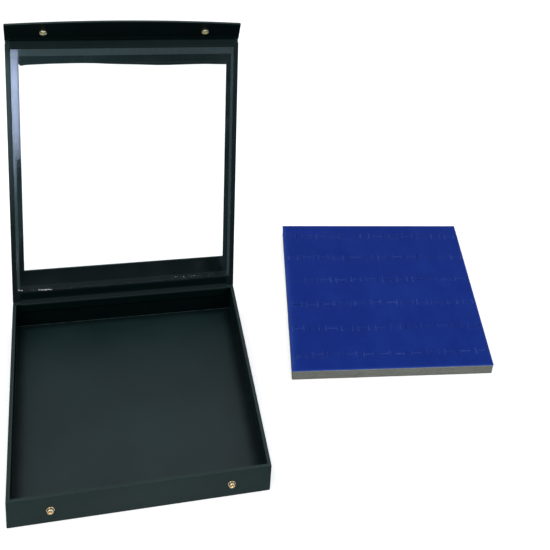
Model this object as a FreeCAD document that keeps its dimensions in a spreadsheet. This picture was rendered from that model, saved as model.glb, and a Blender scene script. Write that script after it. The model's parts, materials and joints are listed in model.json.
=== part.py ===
import FreeCAD, Part
import Sketcher
import math
import os

# Coin display tray: a shallow snap-flap case of leatherette-wrapped board with
# a glazed lid hinged on its rear top edge, a closing flap hinged on the lid's
# front edge, two ring-and-post snaps, and a loose slotted foam pad.
#
# Millimetres.  +Z up, the front (snap side) faces -Y, +X to the right.
# The origin is the centre of the tray's underside.  The lid stands open and the
# pad lies on the floor beside the tray.

# Each row: alias, value (mm, degrees or a count), what it is.
DIMENSIONS = [
    # Tray
    ("case_width", 305.0, "outside width of tray and lid"),
    ("case_depth", 381.0, "outside depth of tray"),
    ("case_height", 41.0, "outside height of tray"),
    ("skin", 0.5, "leatherette thickness"),
    ("glue_gap", 0.05, "glue film between glued layers"),
    ("wall_board", 3.2, "thickness of the four wall boards"),
    ("wall_liner", 0.5, "thickness of the liners inside the walls"),
    ("base_board_thick", 2.5, "thickness of the base board"),
    ("under_sheet", 0.4, "thickness of the sheet under the base"),
    ("under_sheet_gap", 0.3, "gap between that sheet and the turned-in wrap"),
    ("turn_in", 12.0, "width of the wrap turned in under the base"),
    ("floor_card_thick", 0.6, "thickness of the floor card"),
    ("floor_card_gap", 0.5, "gap round the floor card"),
    ("edge_round", 1.1, "rounding of wrapped edges"),
    # Hinge and lid
    ("hinge_out", 0.1, "lid hinge axis behind the rear face"),
    ("hinge_up", 0.3, "lid hinge axis above the wall top"),
    ("lid_open", 100.0, "lid angle, from closed, as it stands"),
    ("lid_face", 0.2, "inner lid face above the hinge axis"),
    ("lid_liner_thick", 0.4, "thickness of the lid's inner liner"),
    ("lid_board_thick", 2.5, "thickness of the lid board"),
    ("window_side", 16.0, "window opening to lid side"),
    ("window_rear", 48.0, "window opening to hinge axis"),
    ("window_front", 27.5, "window opening to the lid's front edge"),
    ("pane_side", 6.2, "pane edge to lid side"),
    ("pane_rear", 16.8, "pane edge to hinge axis"),
    ("pane_front", 6.8, "pane edge to the lid's front edge"),
    ("pane_thick", 2.0, "glass thickness"),
    ("tape_thick", 0.2, "thickness of the pane's adhesive band"),
    ("tape_inset", 0.4, "adhesive band inside the pane edge"),
    ("tape_width", 3.4, "width of the adhesive band at the sides"),
    ("tape_rear", 7.8, "width of the adhesive band by the hinge"),
    ("tape_front", 9.6, "width of the adhesive band by the flap"),
    ("strip_thick", 0.3, "thickness of the cloth hinge strip"),
    ("strip_start", 0.5, "cloth hinge strip on the lid, start from hinge axis"),
    ("strip_reach", 14.5, "cloth hinge strip on the lid, end from hinge axis"),
    ("strip_drop", 14.0, "cloth hinge strip down the rear wall"),
    ("strip_side", 6.0, "cloth hinge strip short of each side"),
    # Flap
    ("fold_width", 5.0, "flexible fold between lid and flap"),
    ("fold_thick", 0.8, "thickness of the fold strip"),
    ("fold_side", 4.0, "fold strip short of each lid side"),
    ("fold_rise", 0.4, "fold strip above the inner lid face"),
    ("fold_lid_gap", 0.15, "gap between lid edge and fold strip"),
    ("fold_flap_gap", 0.5, "gap between fold strip and flap axis"),
    ("flap_bend", 52.0, "flap short of closed, as it stands"),
    ("flap_face", 0.1, "inner flap face in front of its axis"),
    ("flap_top", 0.4, "flap top below its axis"),
    ("flap_side_drop", 34.0, "flap length at its ends"),
    ("flap_crown", 6.6, "extra flap length at the middle"),
    ("flap_liner_thick", 0.4, "thickness of the flap's liner"),
    ("flap_board_thick", 2.0, "thickness of the flap board"),
    # Snaps
    ("snap_spread", 104.5, "snap centre to middle of case"),
    ("snap_height", 20.0, "snap centre above the tray's underside"),
    ("rivet_hole", 4.0, "rivet hole diameter"),
    ("counterbore", 8.4, "counterbore diameter for the eyelet"),
    ("counterbore_deep", 0.7, "counterbore depth"),
    # Pad
    ("pad_width", 294.0, "pad width"),
    ("pad_depth", 370.0, "pad depth"),
    ("pad_lift", 0.02, "underside of the pad above the floor"),
    ("foam_thick", 15.4, "foam thickness"),
    ("face_thick", 1.2, "flocked face thickness"),
    ("slot_columns", 12, "slots in a row"),
    ("slot_rows", 6, "rows of slots"),
    ("slot_pitch", 24.2, "pitch along a row"),
    ("row_pitch", 61.0, "pitch between rows"),
    ("slot_length", 16.0, "length of a slot with its end cuts"),
    ("slot_end", 14.0, "length of the cross cuts at its ends"),
    ("slot_cut", 0.9, "width of the cuts"),
    ("slot_deep", 10.0, "depth of the cuts in the foam"),
    ("pad_right", 381.0, "pad centre to the right of the tray's middle"),
    ("pad_back", 176.0, "pad centre behind the tray's middle"),
    ("pad_turn", -7.0, "pad turned about the vertical"),
]

# Profiles of the turned snap parts: (radius, height) pairs in mm.  Height is
# measured outwards from the face of the wall or flap that the part sits on.
STUD = [
    (0, -3.6), (1.7, -3.6), (1.7, 0.02), (4.5, 0.02), (4.68, 0.12), (4.72, 0.3),
    (4.62, 0.46), (4.25, 0.56), (4.02, 0.75), (3.96, 1.0), (3.96, 2.5), (3.9, 3.1),
    (3.74, 3.62), (3.46, 4.02), (3.1, 4.26), (2.75, 4.36), (2.45, 4.28), (2.2, 4.05),
    (1.95, 3.6), (1.6, 3.15), (0.9, 2.95), (0, 2.9),
]
EYELET = [
    (1.76, -3.7), (3.6, -3.7), (3.8, -3.6), (3.8, -3.35), (3.5, -3.2), (1.76, -3.2),
]
SOCKET = [
    (0, 0.02), (4.7, 0.02), (4.88, 0.14), (4.92, 0.35), (4.92, 3.6), (4.89, 3.86),
    (4.8, 4.02), (4.7, 4.06), (4.6, 3.98), (4.56, 3.8), (4.56, 0.45), (4.4, 0.3),
    (0, 0.28),
]
CAP = [
    (0, -2.85), (1.7, -2.85), (1.7, 0.03), (5.9, 0.03), (6.15, 0.16), (6.2, 0.38),
    (6.0, 0.72), (5.4, 1.05), (4.4, 1.32), (3.2, 1.5), (1.7, 1.61), (0, 1.64),
]

TOLERANCE = 1e-4        # for matching edge positions
SIDES = (("left", -1), ("right", 1))


# ---------------------------------------------------- dimensions as expressions
class Dim:
    """A number that keeps the sheet expression it came from."""

    def __init__(self, text, value):
        self.text = text
        self.value = float(value)

    def __add__(self, other):
        other = as_dim(other)
        return Dim("(%s + %s)" % (self.text, other.text), self.value + other.value)

    def __sub__(self, other):
        other = as_dim(other)
        return Dim("(%s - %s)" % (self.text, other.text), self.value - other.value)

    def __mul__(self, other):
        other = as_dim(other)
        return Dim("(%s * %s)" % (self.text, other.text), self.value * other.value)

    def __rmul__(self, other):
        return as_dim(other) * self

    def __truediv__(self, other):
        other = as_dim(other)
        return Dim("(%s / %s)" % (self.text, other.text), self.value / other.value)

    def __neg__(self):
        return Dim("(0 - %s)" % self.text, -self.value)


def as_dim(number):
    return number if isinstance(number, Dim) else Dim("%.10g" % number, number)


def dim_sin(angle):
    return Dim("sin(%s * 1 deg)" % angle.text, math.sin(math.radians(angle.value)))


def dim_cos(angle):
    return Dim("cos(%s * 1 deg)" % angle.text, math.cos(math.radians(angle.value)))


class Sizes:
    """Holds every sheet dimension as an attribute named by its alias."""


doc = FreeCAD.newDocument("coin_display_tray")
sheet = doc.addObject("Spreadsheet::Sheet", "Dimensions")
size = Sizes()
for row, (alias, value, note) in enumerate(DIMENSIONS, start=1):
    sheet.set("A%d" % row, note)
    sheet.set("B%d" % row, str(value))
    sheet.setAlias("B%d" % row, alias)
    setattr(size, alias, Dim("Dimensions." + alias, value))
doc.recompute()

case_width, case_depth, case_height = size.case_width, size.case_depth, size.case_height
skin, gap = size.skin, size.glue_gap
board, liner = size.wall_board, size.wall_liner
edge_thick = skin + gap                         # wrap and its glue film
wall = edge_thick + board + gap + liner         # full wall thickness
floor_z = size.under_sheet + gap + size.base_board_thick + gap
stand = case_height - skin - gap - floor_z      # height of wall boards and liners
turn_inset = skin + size.turn_in                # inner edge of the turned-in wrap
strip_width = case_width - 2 * (wall + size.strip_side)


# ------------------------------------------------------------- sketch helpers
pieces = []


def new_body(label):
    body = doc.addObject("PartDesign::Body", label)
    body.Label = label
    pieces.append(body)
    return body


def role_plane(body, role):
    for item in body.Origin.OriginFeatures:
        if item.Role == role:
            return item
    raise RuntimeError("no plane " + role)


def new_sketch(body, name, role="XY_Plane", lift=None, across=None, along=None):
    """A sketch on an origin plane, lifted along its normal and shifted in it.

    The normal of XZ_Plane points to -Y.
    """
    sketch = body.newObject("Sketcher::SketchObject", body.Name + "_" + name)
    sketch.AttachmentSupport = [(role_plane(body, role), "")]
    sketch.MapMode = "FlatFace"
    for direction, offset in (("z", lift), ("x", across), ("y", along)):
        if offset is not None:
            sketch.setExpression(".AttachmentOffset.Base." + direction, offset.text)
    return sketch


def constrain(sketch, *details):
    return sketch.addConstraint(Sketcher.Constraint(*details))


def drive(sketch, name, dimension, *details):
    """Add a named constraint bound to a dimension's expression."""
    index = constrain(sketch, *details, dimension.value)
    sketch.renameConstraint(index, name)
    sketch.setExpression("Constraints." + name, dimension.text)


def add_line(sketch, start, end):
    sketch.addGeometry(Part.LineSegment(FreeCAD.Vector(start[0], start[1], 0),
                                        FreeCAD.Vector(end[0], end[1], 0)), False)


def polygon(sketch, points):
    """A closed chain of lines; returns the index of its first line."""
    first = sketch.GeometryCount
    count = len(points)
    for k in range(count):
        add_line(sketch, points[k], points[(k + 1) % count])
    for k in range(count):
        constrain(sketch, "Coincident", first + k, 2, first + (k + 1) % count, 1)
    return first


def square_loop(sketch, points, free=()):
    """A closed chain of level and upright lines; returns the first index.

    Lines listed in free get their direction from another constraint.
    """
    first = polygon(sketch, points)
    for k, start in enumerate(points):
        end = points[(k + 1) % len(points)]
        if k not in free:
            kind = "Horizontal" if abs(start[1] - end[1]) < 1e-9 else "Vertical"
            constrain(sketch, kind, first + k)
    return first


def centred_rect(sketch, tag, width, depth):
    x, y = width.value / 2, depth.value / 2
    first = square_loop(sketch, [(-x, -y), (x, -y), (x, y), (-x, y)])
    constrain(sketch, "Symmetric", first, 1, first + 2, 1, -1, 1)
    drive(sketch, tag + "_width", width, "DistanceX", first, 1, first, 2)
    drive(sketch, tag + "_depth", depth, "DistanceY", first + 1, 1, first + 1, 2)


def hung_rect(sketch, tag, width, near, far):
    """A rectangle centred left to right that lies from -near to -far."""
    x = width.value / 2
    points = [(-x, -far.value), (x, -far.value), (x, -near.value), (-x, -near.value)]
    first = square_loop(sketch, points, free=(0,))
    constrain(sketch, "Symmetric", first, 1, first, 2, -2)
    drive(sketch, tag + "_width", width, "DistanceX", first, 1, first, 2)
    drive(sketch, tag + "_far", far, "DistanceY", first, 1, -1, 1)
    drive(sketch, tag + "_near", near, "DistanceY", first + 2, 1, -1, 1)


def snap_holes(sketch, level, diameter, below=False):
    """Two equal circles at the snaps, level above (or below) the origin."""
    x = size.snap_spread.value
    y = -level.value if below else level.value
    first = sketch.GeometryCount
    for centre_x in (-x, x):
        sketch.addGeometry(Part.Circle(FreeCAD.Vector(centre_x, y, 0),
                                       FreeCAD.Vector(0, 0, 1), diameter.value / 2), False)
    constrain(sketch, "Symmetric", first, 3, first + 1, 3, -2)
    constrain(sketch, "Equal", first, first + 1)
    drive(sketch, "hole_spread", 2 * size.snap_spread, "DistanceX", first, 3, first + 1, 3)
    ends = (first, 3, -1, 1) if below else (-1, 1, first, 3)
    drive(sketch, "hole_level", level, "DistanceY", *ends)
    drive(sketch, "hole_diameter", diameter, "Diameter", first)


# ------------------------------------------------------------ feature helpers
def pad_up(body, sketch, name, length):
    feature = body.newObject("PartDesign::Pad", body.Name + "_" + name)
    feature.Profile = sketch
    feature.setExpression("Length", length.text)
    sketch.Visibility = False
    return feature


def cut_both(body, sketch, name, length):
    """A pocket that runs half its length to either side of the sketch."""
    feature = body.newObject("PartDesign::Pocket", body.Name + "_" + name)
    feature.Profile = sketch
    feature.Type = 0
    feature.SideType = 2
    feature.setExpression("Length", length.text)
    sketch.Visibility = False
    return feature


def round_edges(body, base, pick):
    """Round the edges of the base feature that pick accepts."""
    doc.recompute()
    names = ["Edge%d" % i for i, edge in enumerate(base.Shape.Edges, start=1) if pick(edge)]
    if not names:
        raise RuntimeError("no edges to round on " + body.Label)
    feature = body.newObject("PartDesign::Fillet", body.Name + "_rounded")
    feature.Base = (base, names)
    feature.setExpression("Radius", size.edge_round.text)
    body.Tip = feature


def same(a, b):
    return abs(a - b) < TOLERANCE


def edge_at(edge, x=None, y=None, z=None):
    """True for a straight edge whose ends lie these distances from the origin planes."""
    if not isinstance(edge.Curve, (Part.Line, Part.LineSegment)):
        return False
    for vertex in edge.Vertexes:
        for place_now, wanted in ((vertex.X, x), (vertex.Y, y), (vertex.Z, z)):
            if wanted is not None and not same(abs(place_now), wanted):
                return False
    return True


def place(body, x=None, y=None, z=None, turn=None, axis=(1, 0, 0)):
    if turn is not None:
        body.Placement = FreeCAD.Placement(
            FreeCAD.Vector(0, 0, 0),
            FreeCAD.Rotation(FreeCAD.Vector(*axis), turn.value))
        for name, part in zip("xyz", axis):
            body.setExpression(".Placement.Rotation.Axis." + name, "%d" % part)
        body.setExpression(".Placement.Rotation.Angle", "%s * 1 deg" % turn.text)
    for name, offset in (("x", x), ("y", y), ("z", z)):
        if offset is not None:
            body.setExpression(".Placement.Base." + name, offset.text)


def slab(label, width, depth, height, x=None, y=None, z=None):
    """A plain block, centred on its place in plan."""
    body = new_body(label)
    sketch = new_sketch(body, "outline")
    centred_rect(sketch, "outline", width, depth)
    pad_up(body, sketch, "solid", height)
    place(body, x, y, z)


def turned(label, profile, x, y, z, turn):
    """A turned piece: its (radius, height) profile spun about local Z."""
    body = new_body(label)
    sketch = new_sketch(body, "profile", "XZ_Plane")
    polygon(sketch, profile)
    for k, point in enumerate(profile):
        for kind, value, axis_line in (("DistanceX", point[0], -2),
                                       ("DistanceY", point[1], -1)):
            if abs(value) > 1e-9:
                constrain(sketch, kind, -1, 1, k, 1, value)
            else:
                constrain(sketch, "PointOnObject", k, 1, axis_line)
    feature = body.newObject("PartDesign::Revolution", body.Name + "_spin")
    feature.Profile = sketch
    feature.ReferenceAxis = (sketch, ["V_Axis"])
    feature.Angle = 360.0
    sketch.Visibility = False
    place(body, x, y, z, turn)


# ---------------------------------------------------------------- tray shell
def inset_slab(label, inset, height, z=None):
    """A slab of the case outline drawn in by inset all round."""
    slab(label, case_width - 2 * inset, case_depth - 2 * inset, height, z=z)


def tray_base():
    inset_slab("base_board", edge_thick, size.base_board_thick, size.under_sheet + gap)
    inset_slab("bottom_sheet", turn_inset + size.under_sheet_gap, size.under_sheet)
    inset_slab("floor_card", wall + size.floor_card_gap, size.floor_card_thick, floor_z)


def front_wall_board():
    """The board that carries the snaps: rivet holes, counterbored inside."""
    body = new_body("front_wall_board")
    level = size.snap_height - floor_z
    sketch = new_sketch(body, "outline")
    centred_rect(sketch, "outline", case_width - 2 * edge_thick, board)
    pad_up(body, sketch, "solid", stand)
    sketch = new_sketch(body, "rivets", "XZ_Plane")
    snap_holes(sketch, level, size.rivet_hole)
    cut_both(body, sketch, "rivet_holes", 3 * board)
    sketch = new_sketch(body, "bores", "XZ_Plane", lift=-(board / 2))
    snap_holes(sketch, level, size.counterbore)
    cut_both(body, sketch, "counterbores", 2 * size.counterbore_deep)
    place(body, y=-(case_depth / 2 - edge_thick - board / 2), z=floor_z)


def plain_wall_boards():
    inset = edge_thick + board / 2
    slab("rear_wall_board", case_width - 2 * edge_thick, board, stand,
         y=case_depth / 2 - inset, z=floor_z)
    side_run = case_depth - 2 * (edge_thick + board + gap)
    for side, sign in SIDES:
        slab(side + "_wall_board", board, side_run, stand,
             x=(case_width / 2 - inset) * sign, z=floor_z)


def wall_liners():
    """Thin liners on the inner faces of the walls."""
    inset = wall - liner / 2
    cross_run = case_width - 2 * (edge_thick + board + gap)
    for end, sign in (("front", -1), ("rear", 1)):
        slab(end + "_wall_liner", cross_run, liner, stand,
             y=(case_depth / 2 - inset) * sign, z=floor_z)
    side_run = case_depth - 2 * (wall + gap)
    for side, sign in SIDES:
        slab(side + "_wall_liner", liner, side_run, stand,
             x=(case_width / 2 - inset) * sign, z=floor_z)


def tray_wrap():
    """One sheet round the walls, over their tops and turned in under the base."""
    body = new_body("tray_wrap")
    # Frames: name, outer and inner inset from the case outline, lift, height.
    # The rim and the turn-in start half a skin in, to overlap the sides.
    for name, outer, inner, lift, height in (
            ("sides", as_dim(0), skin, None, case_height),
            ("rim", skin / 2, wall, case_height - skin, skin),
            ("turn", skin / 2, turn_inset, None, size.under_sheet)):
        sketch = new_sketch(body, name, lift=lift)
        for tag, inset in (("outer", outer), ("inner", inner)):
            centred_rect(sketch, tag, case_width - 2 * inset, case_depth - 2 * inset)
        pad_up(body, sketch, name + "_solid", height)
    sketch = new_sketch(body, "rivets", "XZ_Plane", lift=case_depth / 2)
    snap_holes(sketch, size.snap_height, size.rivet_hole)
    holes = cut_both(body, sketch, "rivet_holes", 4 * skin)
    half_width, half_depth = case_width.value / 2, case_depth.value / 2
    top = case_height.value

    def outer_edge(edge):
        return (edge_at(edge, x=half_width, y=half_depth) or edge_at(edge, x=half_width, z=top)
                or edge_at(edge, y=half_depth, z=top))

    round_edges(body, holes, outer_edge)


def tray_snaps():
    for side, sign in SIDES:
        for label, profile in (("snap_stud_", STUD), ("stud_eyelet_", EYELET)):
            turned(label + side, profile, size.snap_spread * sign, -(case_depth / 2),
                   size.snap_height, as_dim(90))


def hinge_cloth_tray():
    """The half of the cloth hinge strip that is glued to the rear wall."""
    slab("hinge_cloth_tray", strip_width, size.strip_thick, size.strip_drop,
         y=case_depth / 2 - wall - gap - size.strip_thick / 2,
         z=case_height - skin - size.strip_drop)


tray_base()
front_wall_board()
plain_wall_boards()
wall_liners()
tray_wrap()
tray_snaps()
hinge_cloth_tray()

# ------------------------------------------------------------------------ lid
# Lid pieces are drawn closed, from the hinge axis forward (towards -Y), and
# then turned up about the axis.  Heights are above the hinge axis; near and far
# are distances forward of it.
axis_y = case_depth / 2 + size.hinge_out
axis_z = case_height + size.hinge_up
lid_near = size.hinge_out
lid_far = size.hinge_out + case_depth
lid_z = size.lid_face
lid_board_z = lid_z + size.lid_liner_thick + gap
lid_skin_z = lid_board_z + size.lid_board_thick + gap
tape_z = lid_z - gap - size.tape_thick


# Each outline is a (width, near, far) triple.
def lid_outline(inset):
    return case_width - 2 * inset, lid_near + inset, lid_far - inset


def window_outline(growth):
    return (case_width - 2 * size.window_side + 2 * growth, size.window_rear - growth,
            lid_far - size.window_front + growth)


def lid_layer(body, name, bottom, thick, outer, inner=None):
    """Pad an outline, less an inner one if given, up from bottom."""
    sketch = new_sketch(body, name, lift=bottom)
    hung_rect(sketch, "outer", *outer)
    if inner:
        hung_rect(sketch, "inner", *inner)
    return pad_up(body, sketch, name + "_solid", thick)


def place_on_lid(body):
    place(body, y=axis_y, z=axis_z, turn=-size.lid_open)


def lid_piece(label, bottom, thick, outer, inner=None):
    body = new_body(label)
    lid_layer(body, "outline", bottom, thick, outer, inner)
    place_on_lid(body)


def lid_wrap():
    """The lid's skin: outer face, outer edges and the edges of the window."""
    body = new_body("lid_wrap")
    # The edges and the reveal run half a skin into the face, to join it.
    lid_layer(body, "face", lid_skin_z, skin, lid_outline(0), window_outline(0))
    lid_layer(body, "edges", lid_z, lid_skin_z - lid_z + skin / 2,
              lid_outline(0), lid_outline(skin))
    reveal = lid_layer(body, "reveal", lid_board_z, lid_skin_z - lid_board_z + skin / 2,
                       window_outline(skin), window_outline(0))
    side = case_width.value / 2
    top = lid_skin_z.value + skin.value
    ends = (lid_far.value, lid_near.value)

    def outer_edge(edge):
        vertexes = edge.Vertexes
        upright = len(vertexes) == 2 and abs(vertexes[0].Z - vertexes[1].Z) > 1
        corner = upright and any(edge_at(edge, x=side, y=end) for end in ends)
        return corner or (edge_at(edge, x=side, z=top)
                          or any(edge_at(edge, y=end, z=top) for end in ends))

    round_edges(body, reveal, outer_edge)
    place_on_lid(body)


def window_pane_and_adhesive():
    """The pane under the window and the band that sticks it to the lid."""
    width = case_width - 2 * size.pane_side
    near, far = size.pane_rear, lid_far - size.pane_front
    inset = size.tape_inset
    lid_piece("window_pane", tape_z - gap - size.pane_thick, size.pane_thick,
              (width, near, far))
    lid_piece("pane_adhesive", tape_z, size.tape_thick,
              (width - 2 * inset, near + inset, far - inset),
              (width - 2 * (inset + size.tape_width), near + inset + size.tape_rear,
               far - inset - size.tape_front))


def lid_strips():
    """The lid half of the cloth hinge strip, and the fold strip to the flap."""
    lid_piece("hinge_cloth_lid", lid_z - gap - size.strip_thick, size.strip_thick,
              (strip_width, size.strip_start, size.strip_reach))
    lid_piece("flap_fold_strip", lid_z + size.fold_rise, size.fold_thick,
              (case_width - 2 * size.fold_side, lid_far + size.fold_lid_gap,
               lid_far + size.fold_width - size.fold_flap_gap))


lid_piece("lid_liner", lid_z, size.lid_liner_thick, lid_outline(edge_thick),
          window_outline(0))
lid_piece("lid_board", lid_board_z, size.lid_board_thick, lid_outline(edge_thick),
          window_outline(edge_thick))
lid_wrap()
window_pane_and_adhesive()
lid_strips()

# ----------------------------------------------------------------------- flap
# Flap pieces are drawn hanging closed below the flap axis, then turned out and
# carried up with the lid.
flap_reach = lid_far + size.fold_width          # hinge axis to flap axis
flap_axis_y = axis_y - flap_reach * dim_cos(size.lid_open)
flap_axis_z = axis_z + flap_reach * dim_sin(size.lid_open)
flap_turn = size.lid_open + size.flap_bend
snap_drop = case_height + size.hinge_up - size.snap_height
# Distances in front of the flap axis, closed
flap_board_out = size.flap_face + size.flap_liner_thick + gap
flap_skin_out = flap_board_out + size.flap_board_thick + gap


def flap_outline(sketch, tag, inset):
    """Straight top and ends, and a bowed lower edge."""
    half = case_width / 2 - inset
    top, low = size.flap_top + inset, size.flap_side_drop - inset
    crown = size.flap_crown
    radius = (half * half + crown * crown) / (2 * crown)
    x, top_y, low_y = half.value, -top.value, -low.value
    first = sketch.GeometryCount
    add_line(sketch, (x, low_y), (x, top_y))
    add_line(sketch, (x, top_y), (-x, top_y))
    add_line(sketch, (-x, top_y), (-x, low_y))
    centre = FreeCAD.Vector(0, low_y - crown.value + radius.value, 0)
    half_angle = math.asin(x / radius.value)
    circle = Part.Circle(centre, FreeCAD.Vector(0, 0, 1), radius.value)
    sketch.addGeometry(Part.ArcOfCircle(circle, -math.pi / 2 - half_angle,
                                        -math.pi / 2 + half_angle), False)
    for k in range(4):
        constrain(sketch, "Coincident", first + k, 2, first + (k + 1) % 4, 1)
    constrain(sketch, "Vertical", first)
    constrain(sketch, "Vertical", first + 2)
    constrain(sketch, "Symmetric", first + 1, 1, first + 1, 2, -2)
    constrain(sketch, "Horizontal", first, 1, first + 2, 2)
    drive(sketch, tag + "_width", 2 * half, "DistanceX", first + 1, 2, first + 1, 1)
    drive(sketch, tag + "_top", top, "DistanceY", first + 1, 1, -1, 1)
    drive(sketch, tag + "_low", low, "DistanceY", first, 1, -1, 1)
    drive(sketch, tag + "_crown", radius, "Radius", first + 3)


def flap_layer(body, name, start, thick, inset):
    """A sheet of the flap with its two rivet holes."""
    sketch = new_sketch(body, name, "XZ_Plane", lift=start)
    flap_outline(sketch, "outer", inset)
    snap_holes(sketch, snap_drop, size.rivet_hole, below=True)
    pad_up(body, sketch, name + "_solid", thick)


def place_on_flap(body):
    place(body, y=flap_axis_y, z=flap_axis_z, turn=-flap_turn)


def flap_piece(label, start, thick):
    body = new_body(label)
    flap_layer(body, "outline", start, thick, edge_thick)
    place_on_flap(body)


def flap_wrap():
    """The flap's skin: outer face and edges."""
    body = new_body("flap_wrap")
    flap_layer(body, "face", flap_skin_out, skin, as_dim(0))
    sketch = new_sketch(body, "edges", "XZ_Plane", lift=size.flap_face)
    flap_outline(sketch, "outer", as_dim(0))
    flap_outline(sketch, "inner", skin)
    edges = pad_up(body, sketch, "edges_solid", flap_skin_out - size.flap_face + skin / 2)
    side = case_width.value / 2
    outer_y = -(flap_skin_out.value + skin.value)
    corner_z = -size.flap_side_drop.value

    def outer_edge(edge):
        """The rim of the outer face, and the two lower corners."""
        if len(edge.Vertexes) != 2 or any(not same(abs(v.X), side) for v in edge.Vertexes):
            return False
        start, end = edge.Vertexes
        on_face = same(start.Y, outer_y) and same(end.Y, outer_y)
        corner = abs(start.Y - end.Y) > 1 and same(start.Z, corner_z)
        return on_face or corner

    round_edges(body, edges, outer_edge)
    place_on_flap(body)


def on_flap(y, z):
    """World y and z of a point given in the hanging flap's frame."""
    return (flap_axis_y + y * dim_cos(flap_turn) + z * dim_sin(flap_turn),
            flap_axis_z - y * dim_sin(flap_turn) + z * dim_cos(flap_turn))


def flap_snaps():
    """Sockets on the inner face and caps on the outer face."""
    socket_place = on_flap(-size.flap_face, -snap_drop)
    cap_place = on_flap(-(flap_skin_out + skin), -snap_drop)
    for side, sign in SIDES:
        x = size.snap_spread * sign
        turned("snap_socket_" + side, SOCKET, x, *socket_place, -(flap_turn + 90))
        turned("snap_cap_" + side, CAP, x, *cap_place, -(flap_turn - 90))


flap_piece("flap_liner", size.flap_face, size.flap_liner_thick)
flap_piece("flap_board", flap_board_out, size.flap_board_thick)
flap_wrap()
flap_snaps()

# ------------------------------------------------------------------------ pad
# A foam pad with a flocked face.  Each slot is one cut with a short cross cut
# at either end; the same grid runs through the face and part way into the foam.
row_run = (size.slot_columns - 1) * size.slot_pitch
column_run = (size.slot_rows - 1) * size.row_pitch


def slot_outline(sketch):
    cut = size.slot_cut
    x, y, w = size.slot_length.value / 2, size.slot_end.value / 2, cut.value
    first = square_loop(sketch, [
        (-x, -y), (-x + w, -y), (-x + w, -w / 2), (x - w, -w / 2), (x - w, -y), (x, -y),
        (x, y), (x - w, y), (x - w, w / 2), (-x + w, w / 2), (-x + w, y), (-x, y)])
    constrain(sketch, "Symmetric", first, 1, first + 6, 1, -1, 1)
    constrain(sketch, "Horizontal", first + 1, 1, first + 4, 1)
    constrain(sketch, "Horizontal", first + 7, 1, first + 10, 1)
    # Each row: name, dimension, direction, then line and end for both points.
    for name, dimension, kind, line_a, end_a, line_b, end_b in (
            ("length", size.slot_length, "DistanceX", 0, 1, 4, 2),
            ("end", size.slot_end, "DistanceY", 5, 1, 5, 2),
            ("front_left", cut, "DistanceX", 0, 1, 0, 2),
            ("front_right", cut, "DistanceX", 4, 1, 4, 2),
            ("back_right", cut, "DistanceX", 6, 2, 6, 1),
            ("back_left", cut, "DistanceX", 10, 2, 10, 1),
            ("middle", cut, "DistanceY", 2, 1, 8, 2)):
        drive(sketch, name, dimension, kind, first + line_a, end_a, first + line_b, end_b)
    # The level line of the middle cut, half a cut from the centre
    drive(sketch, "middle_half", cut / 2, "DistanceY", first + 2, 1, -1, 1)


def pattern(body, name, sketch, axis, run, count):
    feature = body.newObject("PartDesign::LinearPattern", body.Name + "_" + name)
    feature.Direction = (sketch, [axis])
    feature.setExpression("Length", run.text)
    feature.Occurrences = int(count.value)
    feature.setExpression("Occurrences", count.text)
    return feature


def slotted(label, height, cut_middle, cut_length, z):
    """A pad layer whose slots are cut to either side of the level cut_middle."""
    body = new_body(label)
    sketch = new_sketch(body, "outline")
    centred_rect(sketch, "outline", size.pad_width, size.pad_depth)
    pad_up(body, sketch, "solid", height)
    sketch = new_sketch(body, "slot", lift=cut_middle, across=-(row_run / 2),
                        along=-(column_run / 2))
    slot_outline(sketch)
    pocket = cut_both(body, sketch, "slot_cut", cut_length)
    grid = body.newObject("PartDesign::MultiTransform", body.Name + "_grid")
    grid.Originals = [pocket]
    grid.Transformations = [
        pattern(body, "along", sketch, "H_Axis", row_run, size.slot_columns),
        pattern(body, "rows", sketch, "V_Axis", column_run, size.slot_rows)]
    body.Tip = grid
    place(body, size.pad_right, size.pad_back, z, size.pad_turn, (0, 0, 1))


slotted("pad_foam", size.foam_thick, size.foam_thick, 2 * size.slot_deep, size.pad_lift)
slotted("pad_face", size.face_thick, size.face_thick / 2, 3 * size.face_thick,
        size.foam_thick + gap)

# ---------------------------------------------------------------- check, write
doc.recompute()
for item in doc.Objects:
    if "Invalid" in item.State or "Error" in item.State:
        raise RuntimeError("%s: %s" % (item.Name, item.State))
for body in pieces:
    shape = body.Shape
    if shape.isNull() or not shape.isValid() or len(shape.Solids) != 1:
        raise RuntimeError("%s: bad shape, %d solids" % (body.Label, len(shape.Solids)))
os.makedirs("parts", exist_ok=True)
for body in pieces:
    body.Shape.exportStep("parts/%s.step" % body.Label)
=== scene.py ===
"""Coin display tray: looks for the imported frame. Metres, +Z up, front towards -Y, origin under the tray's middle."""

import json
import math

import bmesh
import bpy
import numpy as np
from mathutils import Matrix, Vector, noise


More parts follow.
